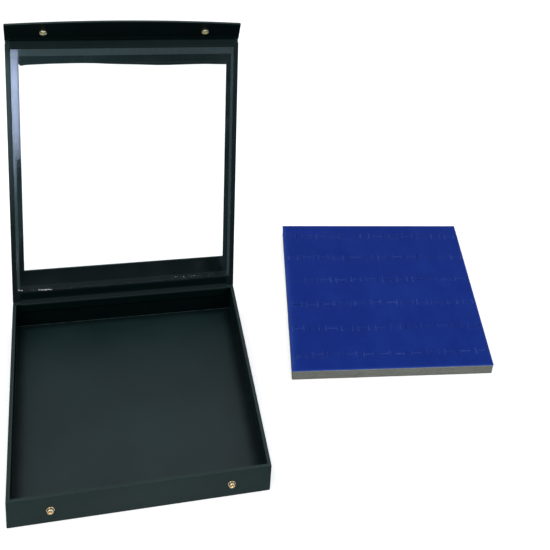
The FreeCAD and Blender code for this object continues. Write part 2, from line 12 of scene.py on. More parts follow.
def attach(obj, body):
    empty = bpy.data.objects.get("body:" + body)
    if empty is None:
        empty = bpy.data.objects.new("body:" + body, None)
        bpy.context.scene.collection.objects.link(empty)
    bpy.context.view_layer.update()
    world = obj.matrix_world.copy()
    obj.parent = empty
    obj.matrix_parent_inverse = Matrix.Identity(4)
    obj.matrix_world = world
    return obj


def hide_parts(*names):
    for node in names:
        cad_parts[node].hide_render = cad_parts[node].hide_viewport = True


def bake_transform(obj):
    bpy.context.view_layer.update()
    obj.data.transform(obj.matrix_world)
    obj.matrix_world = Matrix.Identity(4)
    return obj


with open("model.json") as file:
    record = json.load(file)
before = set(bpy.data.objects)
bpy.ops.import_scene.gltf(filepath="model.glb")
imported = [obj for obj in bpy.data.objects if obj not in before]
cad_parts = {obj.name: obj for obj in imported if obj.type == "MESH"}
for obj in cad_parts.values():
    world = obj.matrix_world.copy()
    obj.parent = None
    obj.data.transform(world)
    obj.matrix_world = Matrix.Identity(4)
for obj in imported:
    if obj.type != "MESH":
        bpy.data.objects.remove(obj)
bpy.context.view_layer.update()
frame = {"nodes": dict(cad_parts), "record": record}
NODES = frame["nodes"]
MM = 0.001
rng = np.random.default_rng(20417)


# ---------------------------------------------------------------- frames of the moving bodies, in millimetres
LID_ANGLE = math.radians(100.0)
HINGE_Y, HINGE_Z = 190.6, 41.3
FLAP_ANGLE = math.radians(152.0)
FOLD = 386.1                                      # fold line, measured up the lid from its hinge
FLAP_Y = HINGE_Y - FOLD * math.cos(LID_ANGLE)
FLAP_Z = HINGE_Z + FOLD * math.sin(LID_ANGLE)


def lid_point(x, up, out):
    """A point of the open lid: up is the distance from the hinge, out is away from the tray side."""
    return (
        x * MM,
        (HINGE_Y - up * math.cos(LID_ANGLE) + out * math.sin(LID_ANGLE)) * MM,
        (HINGE_Z + up * math.sin(LID_ANGLE) + out * math.cos(LID_ANGLE)) * MM,
    )


def flap_point(x, out, down):
    """A point of the flap: out is away from its inner face, down is the distance from the fold."""
    return (
        x * MM,
        (FLAP_Y - out * math.cos(FLAP_ANGLE) - down * math.sin(FLAP_ANGLE)) * MM,
        (FLAP_Z + out * math.sin(FLAP_ANGLE) - down * math.cos(FLAP_ANGLE)) * MM,
    )


SNAP = flap_point(104.5, 0.0, 21.3) + (-math.cos(FLAP_ANGLE), math.sin(FLAP_ANGLE))


# ---------------------------------------------------------------- node helpers
def new_material(name):
    m = bpy.data.materials.new(name)
    m.use_nodes = True
    m.node_tree.nodes.clear()
    return m, m.node_tree


def node(nt, kind, ins=None, **props):
    n = nt.nodes.new(kind)
    for k, v in props.items():
        setattr(n, k, v)
    for k, v in (ins or {}).items():
        s = n.inputs[k]
        if isinstance(v, bpy.types.NodeSocket):
            nt.links.new(v, s)
        else:
            s.default_value = v
    return n


def rgba(c, a=1.0):
    return (c[0], c[1], c[2], a)


def coords(nt):
    return node(nt, "ShaderNodeTexCoord").outputs["Object"]


def scaled(nt, vec, scale):
    return node(nt, "ShaderNodeMapping", {"Vector": vec, "Scale": scale}).outputs["Vector"]


def noise_tex(nt, vec, scale, detail=3.0, rough=0.5, distort=0.0):
    return node(
        nt, "ShaderNodeTexNoise",
        {"Vector": vec, "Scale": scale, "Detail": detail, "Roughness": rough, "Distortion": distort},
    ).outputs["Fac"]


def voronoi(nt, vec, scale, feature="F1", out="Distance", rand=1.0):
    return node(nt, "ShaderNodeTexVoronoi", {"Vector": vec, "Scale": scale, "Randomness": rand}, feature=feature).outputs[out]


def math_node(nt, op, a, b=0.0, c=0.0, clamp=False):
    return node(nt, "ShaderNodeMath", {0: a, 1: b, 2: c}, operation=op, use_clamp=clamp).outputs[0]


def remap(nt, v, a, b, c, d):
    return node(nt, "ShaderNodeMapRange", {"Value": v, "From Min": a, "From Max": b, "To Min": c, "To Max": d}, clamp=True).outputs["Result"]


def mix_col(nt, fac, a, b, mode="MIX"):
    n = nt.nodes.new("ShaderNodeMix")
    n.data_type = "RGBA"
    n.blend_type = mode
    for idx, v in ((0, fac), (6, a), (7, b)):
        if isinstance(v, bpy.types.NodeSocket):
            nt.links.new(v, n.inputs[idx])
        elif idx == 0:
            n.inputs[idx].default_value = v
        else:
            n.inputs[idx].default_value = rgba(v)
    return n.outputs[2]


def bump(nt, height, distance, strength=1.0, normal=None):
    ins = {"Height": height, "Distance": distance, "Strength": strength}
    if normal is not None:
        ins["Normal"] = normal
    return node(nt, "ShaderNodeBump", ins).outputs["Normal"]


def attr(nt, name):
    return node(nt, "ShaderNodeAttribute", attribute_name=name).outputs["Fac"]


def edge_mask(nt, radius, low=0.03, high=0.28):
    """1 along sharp edges, 0 on flats, from the angle a rounded normal makes with the true one."""
    rounded = node(nt, "ShaderNodeBevel", {"Radius": radius}, samples=6).outputs["Normal"]
    true = node(nt, "ShaderNodeNewGeometry").outputs["Normal"]
    d = node(nt, "ShaderNodeVectorMath", {0: rounded, 1: true}, operation="DOT_PRODUCT").outputs["Value"]
    return remap(nt, math_node(nt, "SUBTRACT", 1.0, d), low, high, 0.0, 1.0)


def surface(nt, color, rough, normal=None, metallic=0.0, spec=0.5, coat=0.0, coat_rough=0.2, sheen=0.0, sheen_tint=(1, 1, 1), sheen_rough=0.5):
    p = node(nt, "ShaderNodeBsdfPrincipled")
    for key, v in (("Base Color", color), ("Roughness", rough), ("Metallic", metallic), ("Specular IOR Level", spec),
                   ("Coat Weight", coat), ("Coat Roughness", coat_rough), ("Sheen Weight", sheen), ("Sheen Roughness", sheen_rough)):
        s = p.inputs[key]
        if isinstance(v, bpy.types.NodeSocket):
            nt.links.new(v, s)
        elif key == "Base Color":
            s.default_value = rgba(v)
        else:
            s.default_value = v
    p.inputs["Sheen Tint"].default_value = rgba(sheen_tint)
    if normal is not None:
        nt.links.new(normal, p.inputs["Normal"])
    out = node(nt, "ShaderNodeOutputMaterial")
    nt.links.new(p.outputs[0], out.inputs["Surface"])
    return p


# ---------------------------------------------------------------- materials
def leatherette(name, dark, light, wear_and_highlight_colour, grain=850.0, depth=0.00011, rough=(0.42, 0.62), spec=0.32, wear_and_highlight_amount=0.75, fine=1.0, painted_sheen=None):
    """Embossed bookbinder's leatherette: pebbled grain, cloudy tone, paler edges, partly scuffed and partly a painted
    highlight.
    """
    m, nt = new_material(name)
    p = coords(nt)
    warp = node(nt, "ShaderNodeVectorMath", {0: p, 1: node(nt, "ShaderNodeVectorMath", {0: node(nt, "ShaderNodeTexNoise", {"Vector": p, "Scale": 160.0, "Detail": 2.0}).outputs["Color"], 1: (0.0012,) * 3}, operation="MULTIPLY").outputs[0]}, operation="ADD").outputs[0]
    cells = voronoi(nt, warp, grain, "SMOOTH_F1")
    pebble = voronoi(nt, warp, grain * 0.42, "DISTANCE_TO_EDGE")
    fine_n = noise_tex(nt, p, grain * 2.2, 2.0)
    cloud = noise_tex(nt, p, 9.0, 4.0, 0.6)
    patch = noise_tex(nt, p, 60.0, 3.0, 0.6)
    height = math_node(nt, "ADD", math_node(nt, "MULTIPLY", cells, -0.9), math_node(nt, "MULTIPLY", math_node(nt, "MINIMUM", pebble, 0.25), 2.2))
    height = math_node(nt, "ADD", height, math_node(nt, "MULTIPLY", fine_n, 0.35 * fine))
    tone = remap(nt, math_node(nt, "ADD", math_node(nt, "MULTIPLY", cloud, 0.6), math_node(nt, "MULTIPLY", patch, 0.4)), 0.35, 0.68, 0.0, 1.0)
    col = mix_col(nt, tone, dark, light)
    if painted_sheen is not None:
        # painted reflection: a paler sheen on the border outside the pane on the lid's left; the lining is also darker
        # low down
        place = node(nt, "ShaderNodeSeparateXYZ", {"Vector": p})
        tall = math_node(nt, "MULTIPLY", remap(nt, place.outputs[2], 0.155, 0.315, 0.0, 1.0), remap(nt, place.outputs[2], 0.385, 0.410, 1.0, 0.25))
        col = mix_col(nt, math_node(nt, "MULTIPLY", tall, remap(nt, place.outputs[0], -0.1476, -0.1462, 1.0, 0.0)), col, painted_sheen)
        col = mix_col(nt, remap(nt, place.outputs[2], 0.085, 0.140, 0.65, 0.0), col, (0.0008, 0.0042, 0.0064))
    # painted shade: the grain's crevices are darkened
    crevice_shade = remap(nt, pebble, 0.0, 0.09, 1.0, 0.0)
    col = mix_col(nt, math_node(nt, "MULTIPLY", crevice_shade, 0.45), col, tuple(c * 0.45 for c in dark))
    # painted highlight and scuffing: edges are paler, partly from use and partly standing in for light catching them
    wear_and_highlight_mask = math_node(nt, "MULTIPLY", edge_mask(nt, 0.0011), remap(nt, noise_tex(nt, p, 75.0, 4.0, 0.7), 0.3, 0.68, 0.25, 1.0))
    col = mix_col(nt, math_node(nt, "MULTIPLY", wear_and_highlight_mask, wear_and_highlight_amount), col, wear_and_highlight_colour)
    r = remap(nt, math_node(nt, "ADD", patch, math_node(nt, "MULTIPLY", fine_n, 0.35)), 0.4, 0.9, rough[0], rough[1])
    surface(nt, col, r, bump(nt, height, depth, 0.8), spec=spec)
    return m


def floor_lining(name):
    """Smooth dark lined card in the bottom of the well, with faint scuffs where coins and pads have slid."""
    m, nt = new_material(name)
    p = coords(nt)
    cloud = noise_tex(nt, p, 7.0, 4.0, 0.6)
    grain = voronoi(nt, p, 1500.0, "SMOOTH_F1")
    fine_n = noise_tex(nt, p, 2400.0, 2.0)
    along = noise_tex(nt, scaled(nt, p, (14.0, 420.0, 420.0)), 1.0, 3.0, 0.6)
    across = noise_tex(nt, scaled(nt, p, (330.0, 18.0, 330.0)), 1.0, 3.0, 0.6)
    scuff = math_node(nt, "ADD", remap(nt, along, 0.66, 0.8, 0.0, 1.0), remap(nt, across, 0.68, 0.8, 0.0, 0.7), clamp=True)
    col = mix_col(nt, remap(nt, cloud, 0.35, 0.65, 0.0, 1.0), (0.0052, 0.0158, 0.0172), (0.0078, 0.0212, 0.0228))
    col = mix_col(nt, math_node(nt, "MULTIPLY", scuff, 0.35), col, (0.020, 0.034, 0.036))
    sep = node(nt, "ShaderNodeSeparateXYZ", {"Vector": p})
    from_side = math_node(nt, "SUBTRACT", 0.1477, math_node(nt, "ABSOLUTE", sep.outputs[0]))
    from_end = math_node(nt, "SUBTRACT", 0.1857, math_node(nt, "ABSOLUTE", sep.outputs[1]))
    from_wall = math_node(nt, "MINIMUM", from_side, from_end)
    from_wall = math_node(nt, "ADD", from_wall, math_node(nt, "MULTIPLY", math_node(nt, "SUBTRACT", noise_tex(nt, p, 22.0, 2.0), 0.5), 0.006))
    shade = node(nt, "ShaderNodeMapRange", {"Value": from_wall, "From Min": 0.0, "From Max": 0.017, "To Min": 0.36, "To Max": 1.0}, clamp=True, interpolation_type="SMOOTHSTEP").outputs["Result"]
    col = mix_col(nt, shade, (0.0, 0.0, 0.0), col)
    # painted highlight: a pale line along the card's rear edge
    back_edge_highlight = math_node(nt, "MULTIPLY", remap(nt, sep.outputs[1], 0.1838, 0.1846, 0.0, 1.0), remap(nt, noise_tex(nt, p, 60.0, 3.0, 0.6), 0.38, 0.6, 0.35, 1.0))
    col = mix_col(nt, math_node(nt, "MULTIPLY", back_edge_highlight, 0.85), col, (0.034, 0.052, 0.053))
    # painted highlight on the card's edges
    col = mix_col(nt, math_node(nt, "MULTIPLY", edge_mask(nt, 0.0009), 0.6), col, (0.07, 0.10, 0.10))
    height = math_node(nt, "ADD", math_node(nt, "MULTIPLY", grain, -0.6), math_node(nt, "MULTIPLY", fine_n, 0.5))
    r = remap(nt, math_node(nt, "ADD", cloud, math_node(nt, "MULTIPLY", scuff, 0.3)), 0.35, 0.95, 0.36, 0.58)
    surface(nt, col, r, bump(nt, height, 0.00006, 0.7), spec=math_node(nt, "MULTIPLY", shade, 0.29))
    return m


def greyboard(name):
    m, nt = new_material(name)
    p = coords(nt)
    fleck = noise_tex(nt, p, 700.0, 3.0, 0.7)
    layer = noise_tex(nt, scaled(nt, p, (60.0, 60.0, 900.0)), 1.0, 3.0)
    col = mix_col(nt, remap(nt, fleck, 0.35, 0.7, 0.0, 1.0), (0.22, 0.21, 0.19), (0.36, 0.35, 0.32))
    col = mix_col(nt, math_node(nt, "MULTIPLY", layer, 0.4), col, (0.27, 0.25, 0.22))
    surface(nt, col, 0.92, bump(nt, math_node(nt, "ADD", fleck, layer), 0.0002, 0.6), spec=0.2)
    return m


def paper(name, a, b):
    m, nt = new_material(name)
    p = coords(nt)
    fibre = noise_tex(nt, scaled(nt, p, (420.0, 900.0, 600.0)), 1.0, 4.0, 0.65)
    col = mix_col(nt, remap(nt, fibre, 0.35, 0.68, 0.0, 1.0), a, b)
    surface(nt, col, remap(nt, fibre, 0.3, 0.7, 0.7, 0.9), bump(nt, fibre, 0.00008, 0.6), spec=0.25)
    return m


def book_cloth(name, a, b, turn_highlight):
    """Fine woven cloth of the hinge strip."""
    m, nt = new_material(name)
    p = coords(nt)
    warp = node(nt, "ShaderNodeTexWave", {"Vector": p, "Scale": 320.0, "Distortion": 0.6, "Detail": 2.0, "Detail Scale": 2.0}, wave_type="BANDS", bands_direction="X").outputs["Fac"]
    weft = node(nt, "ShaderNodeTexWave", {"Vector": p, "Scale": 320.0, "Distortion": 0.6, "Detail": 2.0, "Detail Scale": 2.0}, wave_type="BANDS", bands_direction="Z").outputs["Fac"]
    weave = math_node(nt, "MAXIMUM", warp, weft)
    slub = noise_tex(nt, scaled(nt, p, (40.0, 700.0, 700.0)), 1.0, 3.0)
    fac = math_node(nt, "MULTIPLY", weave, remap(nt, slub, 0.3, 0.7, 0.5, 1.0))
    col = mix_col(nt, fac, a, b)
    high = node(nt, "ShaderNodeSeparateXYZ", {"Vector": p}).outputs[2]
    # painted highlight: the cloth is paler, and more specular, where it turns over the top of the wall
    turn = math_node(nt, "MULTIPLY", remap(nt, high, 0.0383, 0.0406, 0.0, 1.0), remap(nt, high, 0.0440, 0.0462, 1.0, 0.0))
    col = mix_col(nt, turn, col, turn_highlight)
    surface(nt, col, remap(nt, slub, 0.3, 0.7, 0.6, 0.85), bump(nt, weave, 0.00005, 0.6), spec=remap(nt, turn, 0.0, 1.0, 0.03, 0.18))
    return m


def snap_metal(name, base, warm, shade, centre_z=None, centre=None, rough=(0.16, 0.34), core_shade_and_reflection=None, deep=0.8):
    """Pressed and plated snap metal, duller in its hollows and darkened there with painted shade, with fine turning
    lines round its own axis.
    """
    m, nt = new_material(name)
    p = coords(nt)
    cx, cy, cz, ny, nz = centre
    sep = node(nt, "ShaderNodeSeparateXYZ", {"Vector": p})
    dx = math_node(nt, "SUBTRACT", math_node(nt, "ABSOLUTE", sep.outputs[0]), cx)
    dy = math_node(nt, "SUBTRACT", sep.outputs[1], cy)
    dz = math_node(nt, "SUBTRACT", sep.outputs[2], cz)
    along = math_node(nt, "ADD", math_node(nt, "MULTIPLY", dy, ny), math_node(nt, "MULTIPLY", dz, nz))
    sq = math_node(nt, "ADD", math_node(nt, "ADD", math_node(nt, "MULTIPLY", dx, dx), math_node(nt, "MULTIPLY", dy, dy)), math_node(nt, "MULTIPLY", dz, dz))
    r = math_node(nt, "SQRT", math_node(nt, "MAXIMUM", math_node(nt, "SUBTRACT", sq, math_node(nt, "MULTIPLY", along, along)), 0.0))
    rings = math_node(nt, "SINE", math_node(nt, "MULTIPLY", r, 26000.0))
    stain = noise_tex(nt, p, 900.0, 4.0, 0.65)
    tarnish = noise_tex(nt, p, 260.0, 3.0, 0.6)
    col = mix_col(nt, remap(nt, tarnish, 0.35, 0.7, 0.0, 1.0), base, warm)
    # painted shade and reflection: the stud's dished centre takes a warm brown colour
    dish = remap(nt, r, 0.0017, 0.0024, 1.0, 0.0)
    if core_shade_and_reflection is not None:
        col = mix_col(nt, math_node(nt, "MULTIPLY", dish, 0.85), col, core_shade_and_reflection)
    # painted shade: hollows found by ambient occlusion are darkened towards the shade colour
    ao = node(nt, "ShaderNodeAmbientOcclusion", {"Distance": 0.0022}, samples=6).outputs["AO"]
    hollow = remap(nt, ao, 0.35, 0.95, 1.0, 0.0)
    col = mix_col(nt, math_node(nt, "MULTIPLY", hollow, deep), col, shade)
    rr = remap(nt, math_node(nt, "ADD", stain, math_node(nt, "MULTIPLY", hollow, 0.5)), 0.35, 1.0, rough[0], rough[1])
    h = math_node(nt, "ADD", math_node(nt, "MULTIPLY", rings, 0.25), stain)
    surface(nt, col, rr, bump(nt, h, 0.00003, 0.5), metallic=1.0)
    return m


def glass(name):
    """Clear sheet glass with a faint cool cast, seen nearly straight on it shows only its reflections."""
    m, nt = new_material(name)
    p = coords(nt)
    dust = noise_tex(nt, p, 35.0, 5.0, 0.7)
    smear = noise_tex(nt, scaled(nt, p, (9.0, 30.0, 30.0)), 1.0, 4.0, 0.6, 0.8)
    clear = node(nt, "ShaderNodeBsdfTransparent", {"Color": (0.972, 0.985, 0.982, 1.0)})
    shine = node(nt, "ShaderNodeBsdfGlossy", {"Color": (0.93, 0.95, 1.0, 1.0), "Roughness": remap(nt, smear, 0.4, 0.75, 0.004, 0.05)})
    geo = node(nt, "ShaderNodeNewGeometry")
    facing = node(nt, "ShaderNodeVectorMath", {0: geo.outputs["Normal"], 1: geo.outputs["Incoming"]}, operation="DOT_PRODUCT").outputs["Value"]
    graze = math_node(nt, "SUBTRACT", 1.0, math_node(nt, "ABSOLUTE", facing), clamp=True)
    fres = math_node(nt, "MULTIPLY_ADD", math_node(nt, "POWER", graze, 5.0), 0.62, 0.038)
    body = node(nt, "ShaderNodeMixShader", {0: fres, 1: clear.outputs[0], 2: shine.outputs[0]})
    dust_and_edge_highlight = node(nt, "ShaderNodeBsdfDiffuse", {"Color": (0.62, 0.66, 0.72, 1.0)})
    # dust at random, and a painted highlight along the pane's edges, both as a pale diffuse layer
    edges = edge_mask(nt, 0.0007)
    amount = math_node(nt, "ADD", math_node(nt, "MULTIPLY", remap(nt, dust, 0.52, 0.8, 0.0, 1.0), 0.012), math_node(nt, "MULTIPLY", edges, 0.10))
    out = node(nt, "ShaderNodeMixShader", {0: amount, 1: body.outputs[0], 2: dust_and_edge_highlight.outputs[0]})
    o = node(nt, "ShaderNodeOutputMaterial")
    nt.links.new(out.outputs[0], o.inputs["Surface"])
    return m


def glue(name, a, b, rough, foot=None):
    m, nt = new_material(name)
    p = coords(nt)
    n1 = noise_tex(nt, p, 240.0, 4.0, 0.7)
    col = mix_col(nt, remap(nt, n1, 0.35, 0.7, 0.0, 1.0), a, b)
    if foot is not None:
        # the band is darker along the pane's foot
        place = node(nt, "ShaderNodeSeparateXYZ", {"Vector": p})
        low = math_node(nt, "MULTIPLY", remap(nt, place.outputs[2], 0.0665, 0.0675, 1.0, 0.0), remap(nt, math_node(nt, "ABSOLUTE", place.outputs[0]), 0.1415, 0.1430, 1.0, 0.0))
        col = mix_col(nt, low, col, foot)
    surface(nt, col, remap(nt, n1, 0.3, 0.7, rough, rough + 0.25), bump(nt, n1, 0.0002, 0.6), spec=0.3)
    return m


def foam(name):
    """Open-cell foam as a knife leaves it: pores, skipped strands and slow streaks along the cut."""
    m, nt = new_material(name)
    p = coords(nt)
    warp = node(nt, "ShaderNodeVectorMath", {0: p, 1: node(nt, "ShaderNodeVectorMath", {0: node(nt, "ShaderNodeTexNoise", {"Vector": p, "Scale": 500.0, "Detail": 2.0}).outputs["Color"], 1: (0.0009,) * 3}, operation="MULTIPLY").outputs[0]}, operation="ADD").outputs[0]
    pore = voronoi(nt, warp, 1150.0, "DISTANCE_TO_EDGE")
    big = voronoi(nt, warp, 420.0, "F1")
    streak = noise_tex(nt, scaled(nt, p, (26.0, 26.0, 520.0)), 1.0, 3.0, 0.6)
    cloud = noise_tex(nt, p, 45.0, 3.0, 0.6)
    # painted shade: pore hollows are darker than the strands round them, and larger pores darker still
    strand = remap(nt, pore, 0.0, 0.12, 1.0, 0.0)
    col = mix_col(nt, strand, (0.165, 0.172, 0.148), (0.315, 0.325, 0.290))
    col = mix_col(nt, remap(nt, cloud, 0.35, 0.7, 0.0, 0.55), col, (0.205, 0.214, 0.186))
    col = mix_col(nt, remap(nt, streak, 0.56, 0.74, 0.0, 0.5), col, (0.36, 0.37, 0.335))
    col = mix_col(nt, remap(nt, big, 0.62, 0.9, 0.0, 0.5), col, (0.10, 0.105, 0.090))
    high = node(nt, "ShaderNodeSeparateXYZ", {"Vector": p}).outputs[2]
    # painted highlight: a pale band along the top of the foam's cut side
    top_edge_highlight = math_node(nt, "MULTIPLY", remap(nt, high, 0.0136, 0.0152, 0.0, 1.0), remap(nt, noise_tex(nt, p, 130.0, 3.0, 0.6), 0.35, 0.65, 0.25, 1.0))
    col = mix_col(nt, math_node(nt, "MULTIPLY", top_edge_highlight, 0.75), col, (0.50, 0.55, 0.60))
    h = math_node(nt, "ADD", math_node(nt, "MULTIPLY", strand, 0.7), math_node(nt, "MULTIPLY", big, -0.6))
    h = math_node(nt, "ADD", h, math_node(nt, "MULTIPLY", streak, 0.5))
    surface(nt, col, 0.95, bump(nt, h, 0.00055, 0.8), spec=0.12)
    return m


def flock(name):
    """Short-pile flock: each fibre scatters, the nap lies in soft patches, cut lips get a painted highlight and gaps
    painted shade.
    """
    m, nt = new_material(name)
    p = coords(nt)
    pile = noise_tex(nt, p, 3200.0, 2.0, 0.6)
    tuft = voronoi(nt, p, 1500.0, "F1")
    nap = noise_tex(nt, p, 16.0, 4.0, 0.55, 0.6)
    stroke = noise_tex(nt, scaled(nt, p, (60.0, 14.0, 60.0)), 1.0, 3.0, 0.6)
    tone = math_node(nt, "ADD", math_node(nt, "MULTIPLY", nap, 0.65), math_node(nt, "MULTIPLY", stroke, 0.35))
    col = mix_col(nt, remap(nt, tone, 0.36, 0.66, 0.0, 1.0), (0.0040, 0.0215, 0.198), (0.0075, 0.0300, 0.238))
    col = mix_col(nt, remap(nt, pile, 0.35, 0.7, 0.0, 0.5), col, (0.0030, 0.0160, 0.150))
    # painted highlight on the raised lips beside the cuts
    col = mix_col(nt, math_node(nt, "MULTIPLY", attr(nt, "lip"), 0.80), col, (0.085, 0.150, 0.52))
    # painted highlight along the pad's rolled edge, wider down its left side
    col = mix_col(nt, math_node(nt, "MULTIPLY", attr(nt, "rim"), 0.60), col, (0.045, 0.110, 0.42))
    # painted shade in the open cuts of the slots
    col = mix_col(nt, math_node(nt, "MULTIPLY", attr(nt, "gap"), 0.9), col, (0.0006, 0.0030, 0.032))
    lint = remap(nt, voronoi(nt, p, 95.0, "F1"), 0.0, 0.018, 1.0, 0.0)
    col = mix_col(nt, math_node(nt, "MULTIPLY", lint, 0.35), col, (0.12, 0.17, 0.36))
    h = math_node(nt, "ADD", pile, math_node(nt, "MULTIPLY", tuft, -0.8))
    surface(nt, col, 0.95, bump(nt, h, 0.00022, 0.75), spec=0.08, sheen=0.10, sheen_tint=(0.25, 0.42, 1.0), sheen_rough=0.45)
    return m


LINING = dict(grain=1900.0, depth=0.00004, rough=(0.46, 0.62), wear_and_highlight_amount=0.45)
M = {
    "leatherette": leatherette("leatherette", (0.0062, 0.0200, 0.0194), (0.0098, 0.0268, 0.0256), (0.050, 0.092, 0.084), spec=0.28),
    # the linings are copies of one material at painted brightness: lid_lining lighter, wall_lining between,
    # shade_lining and deep_shade_lining darker for faces in shade
    "wall_lining": leatherette("wall_lining", (0.0022, 0.0082, 0.0084), (0.0040, 0.0120, 0.0124), (0.036, 0.064, 0.062), spec=0.14, **LINING),
    "lid_lining": leatherette("lid_lining", (0.0034, 0.0105, 0.0110), (0.0058, 0.0148, 0.0156), (0.036, 0.064, 0.062), spec=0.12, painted_sheen=(0.044, 0.074, 0.076), **LINING),
    "shade_lining": leatherette("shade_lining", (0.0009, 0.0050, 0.0044), (0.0019, 0.0076, 0.0068), (0.030, 0.056, 0.052), spec=0.07, **LINING),
    "deep_shade_lining": leatherette("deep_shade_lining", (0.0005, 0.0034, 0.0032), (0.0012, 0.0056, 0.0054), (0.020, 0.044, 0.040), spec=0.05, **LINING),
    "floor_lining": floor_lining("floor_lining"),
    "greyboard": greyboard("greyboard"),
    # the base and rear wall boards take a near-black paper colour
    "dark_board": paper("dark_board", (0.0010, 0.0020, 0.0020), (0.0030, 0.0050, 0.0050)),
    "under_paper": paper("under_paper", (0.008, 0.009, 0.010), (0.020, 0.022, 0.023)),
    "hinge_cloth": book_cloth("hinge_cloth", (0.0006, 0.0038, 0.0038), (0.0014, 0.0062, 0.0060), (0.0070, 0.0150, 0.0148)),
    "brass_stud": snap_metal("brass_stud", (0.88, 0.74, 0.50), (0.86, 0.68, 0.40), (0.50, 0.34, 0.16), centre=(0.1045, -0.1905, 0.0200, -1.0, 0.0), core_shade_and_reflection=(0.70, 0.34, 0.07), deep=0.6),
    "brass_cap": snap_metal("brass_cap", (0.84, 0.64, 0.34), (0.76, 0.52, 0.24), (0.05, 0.032, 0.013), centre=SNAP),
    "nickel_socket": snap_metal("nickel_socket", (0.92, 0.90, 0.76), (0.86, 0.78, 0.52), (0.03, 0.028, 0.020), centre=SNAP, rough=(0.14, 0.30)),
    "clear_glass": glass("clear_glass"),
    "pane_glue": glue("pane_glue", (0.024, 0.040, 0.044), (0.036, 0.056, 0.062), 0.45, foot=(0.0050, 0.0130, 0.0155)),
    "glue_specks": glue("glue_specks", (0.60, 0.58, 0.60), (0.92, 0.88, 0.90), 0.5),
    "grey_foam": foam("grey_foam"),
    "blue_flock": flock("blue_flock"),
}


def finish_of(name):
    slot = SLOT.get(name, "greyboard")
    if slot == "brass_snap":
        return "brass_cap" if name.startswith("snap_cap") else "brass_stud"
    if slot == "nickel_snap":
        return "nickel_socket"
    # painted shade and light: these liners take darker or lighter copies of the lining
    if name in ("flap_liner", "rear_wall_liner"):
        return "deep_shade_lining"
    if name == "left_wall_liner":
        return "shade_lining"
    if name == "lid_liner":
        return "lid_lining"
    if name in ("base_board", "rear_wall_board"):
        return "dark_board"
    return slot


SLOT = {s["node"]: s["material_slot"] for s in frame["record"].get("subparts", [])}
for name, obj in NODES.items():
    obj.data.materials.clear()
    obj.data.materials.append(M[finish_of(name)])


# ---------------------------------------------------------------- mesh helpers
def mesh_object(name, verts, faces, material, smooth=True):
    me = bpy.data.meshes.new(name)
    me.from_pydata([tuple(v) for v in verts], [], [tuple(f) for f in faces])
    me.validate()
    bm = bmesh.new()
    bm.from_mesh(me)
    bmesh.ops.recalc_face_normals(bm, faces=bm.faces)
    bm.to_mesh(me)
    bm.free()
    me.materials.append(material)
    if smooth:
        me.polygons.foreach_set("use_smooth", [True] * len(me.polygons))
    ob = bpy.data.objects.new(name, me)
    bpy.context.scene.collection.objects.link(ob)
    return ob


def n3(x, y, z=0.0, s=1.0):
    return noise.noise(Vector((x * s, y * s, z)))


def swept(name, sections, material, closed_path=False, cap=True):
    """Closed skin over a list of cross-sections, each a list of points of the same length."""
    k = len(sections[0])
    verts = [p for sec in sections for p in sec]
    faces = []
    n = len(sections)
    for i in range(n if closed_path else n - 1):
        a, b = i * k, ((i + 1) % n) * k
        for j in range(k):
            jj = (j + 1) % k
            faces.append((a + j, a + jj, b + jj, b + j))
    if cap and not closed_path:
        faces.append(tuple(range(k - 1, -1, -1)))
        faces.append(tuple((n - 1) * k + j for j in range(k)))
    return mesh_object(name, verts, faces, material)


# ---------------------------------------------------------------- the pad
PAD_C = (381.0, 176.0)
PAD_A = math.radians(-7.0)
PAD_W, PAD_D = 294.0, 370.0
PAD_Z0, PAD_Z1, PAD_Z2, PAD_Z3 = 0.02, 15.42, 15.45, 16.65
COLS, ROWS, PITCH_X, PITCH_Y = 12, 6, 24.2, 61.0
SLOT_W, SLOT_H = 16.0, 14.0


def pad_point(u, v, z):
    c, s = math.cos(PAD_A), math.sin(PAD_A)
    return ((PAD_C[0] + u * c - v * s) * MM, (PAD_C[1] + u * s + v * c) * MM, z * MM)


def fill_lines(marks, lo, hi, step):
    marks = sorted(set(round(m, 4) for m in marks if lo <= m <= hi) | {lo, hi})
    out = [marks[0]]
    for a, b in zip(marks, marks[1:]):
        n = max(1, math.ceil((b - a) / step - 1e-6))
        out += [a + (b - a) * (i + 1) / n for i in range(n)]
    keep = [out[0]]
    for x in out[1:]:
        if x - keep[-1] > 0.05:
            keep.append(x)
    return np.array(keep)


def outline(u, v, half_w, half_d):
    """The pad's cut edge isn't quite straight: how far a border point sits in or out."""
    return 0.22 * n3(u * 0.02, v * 0.02, 3.1) + 0.10 * n3(u * 0.11, v * 0.11, 7.7)


